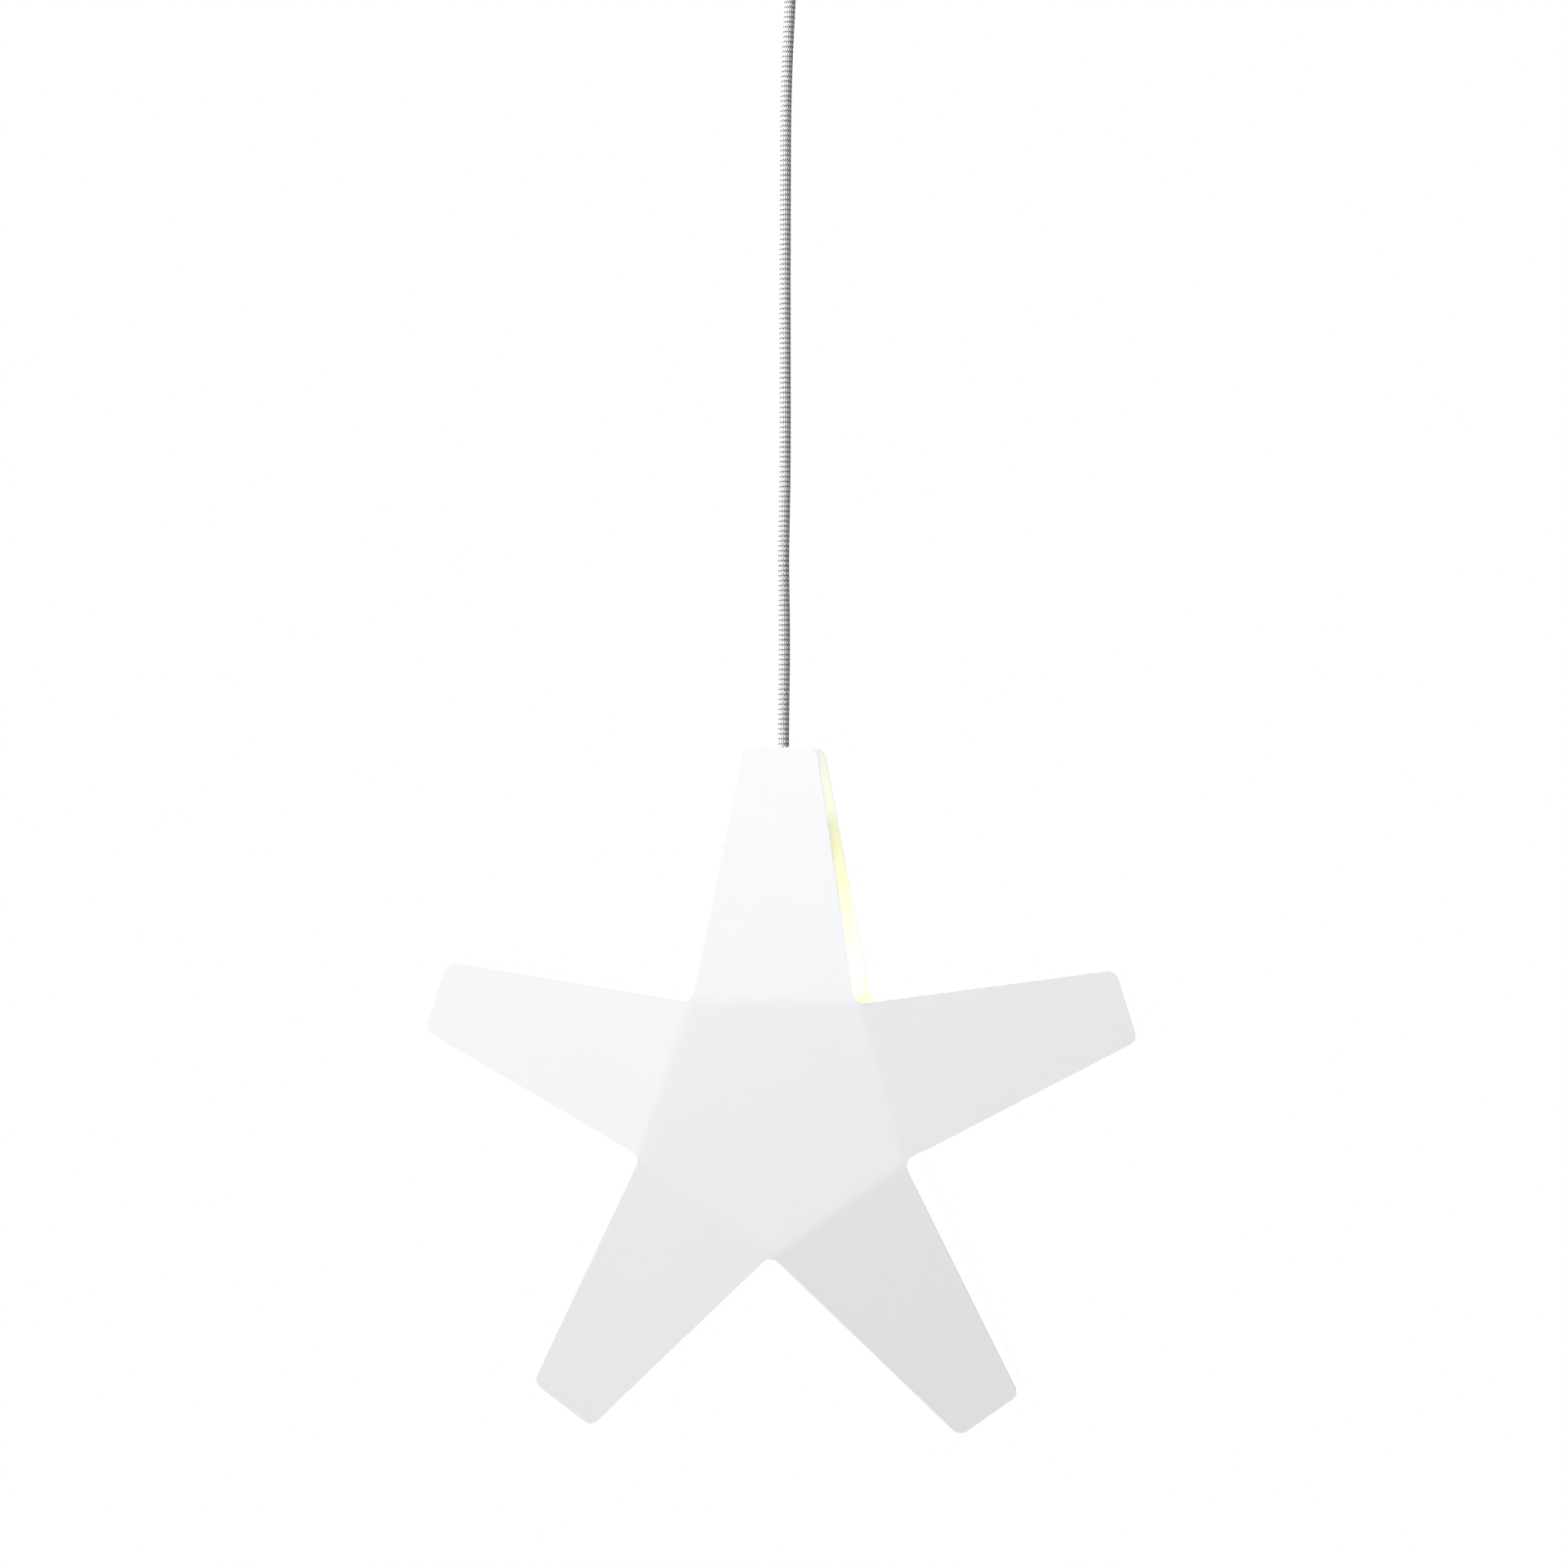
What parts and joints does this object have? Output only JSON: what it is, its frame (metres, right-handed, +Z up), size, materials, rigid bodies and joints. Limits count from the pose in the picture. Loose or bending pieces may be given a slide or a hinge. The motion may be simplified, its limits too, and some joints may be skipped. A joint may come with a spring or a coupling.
{
  "type": "advent star pendant lamp",
  "caption": "Hanging star lamp of two folded white star-shaped sheets with a small warm bulb between them, on a braided cord from a ceiling cup.",
  "frame": {"origin": "at the ceiling, in the middle of the ceiling cup's rim", "axes": "+Z up along the cord, the star's front faces -Y, +X to the right as the viewer sees it"},
  "size_m": [0.4002, 0.09, 0.876],
  "materials": {
    "white_lacquer": "satin white lacquer",
    "zinc_steel": "zinc plated",
    "white_screw": "white lacquered screw",
    "white_plastic": "smooth moulded",
    "clear_screw": "translucent nylon",
    "holder_ceramic": "glazed",
    "contact_brass": "bare",
    "core_sheath": "smooth insulation",
    "bulb_glow": "opal, lit warm",
    "cord_braid": "grey and white braid",
    "block_plastic": "moulded"
  },
  "bodies": {
    "root": {"front_sheet": "white_lacquer", "back_sheet": "white_lacquer", "sheet_studs": "zinc_steel", "spacers": "zinc_steel", "back_screws": "white_screw", "lamp_bracket": "zinc_steel", "bracket_nuts": "zinc_steel", "lamp_cord_grip": "white_plastic", "lamp_grip_screw": "clear_screw", "holder_cap": "white_plastic", "holder_shell": "white_plastic", "holder_insert": "holder_ceramic", "holder_thread": "contact_brass", "holder_contact": "contact_brass", "holder_cores": "core_sheath", "bulb": "bulb_glow", "cord": "cord_braid", "ceiling_cup": "white_lacquer", "cup_cord_grip": "white_plastic", "cup_grip_nut": "zinc_steel", "cup_grip_screw": "clear_screw", "cup_screws": "white_screw", "ceiling_strap": "zinc_steel", "terminal_block": "block_plastic", "terminal_tubes": "contact_brass", "terminal_screws": "zinc_steel", "block_screw": "zinc_steel", "cup_cores": "core_sheath"}
  },
  "joints": []
}
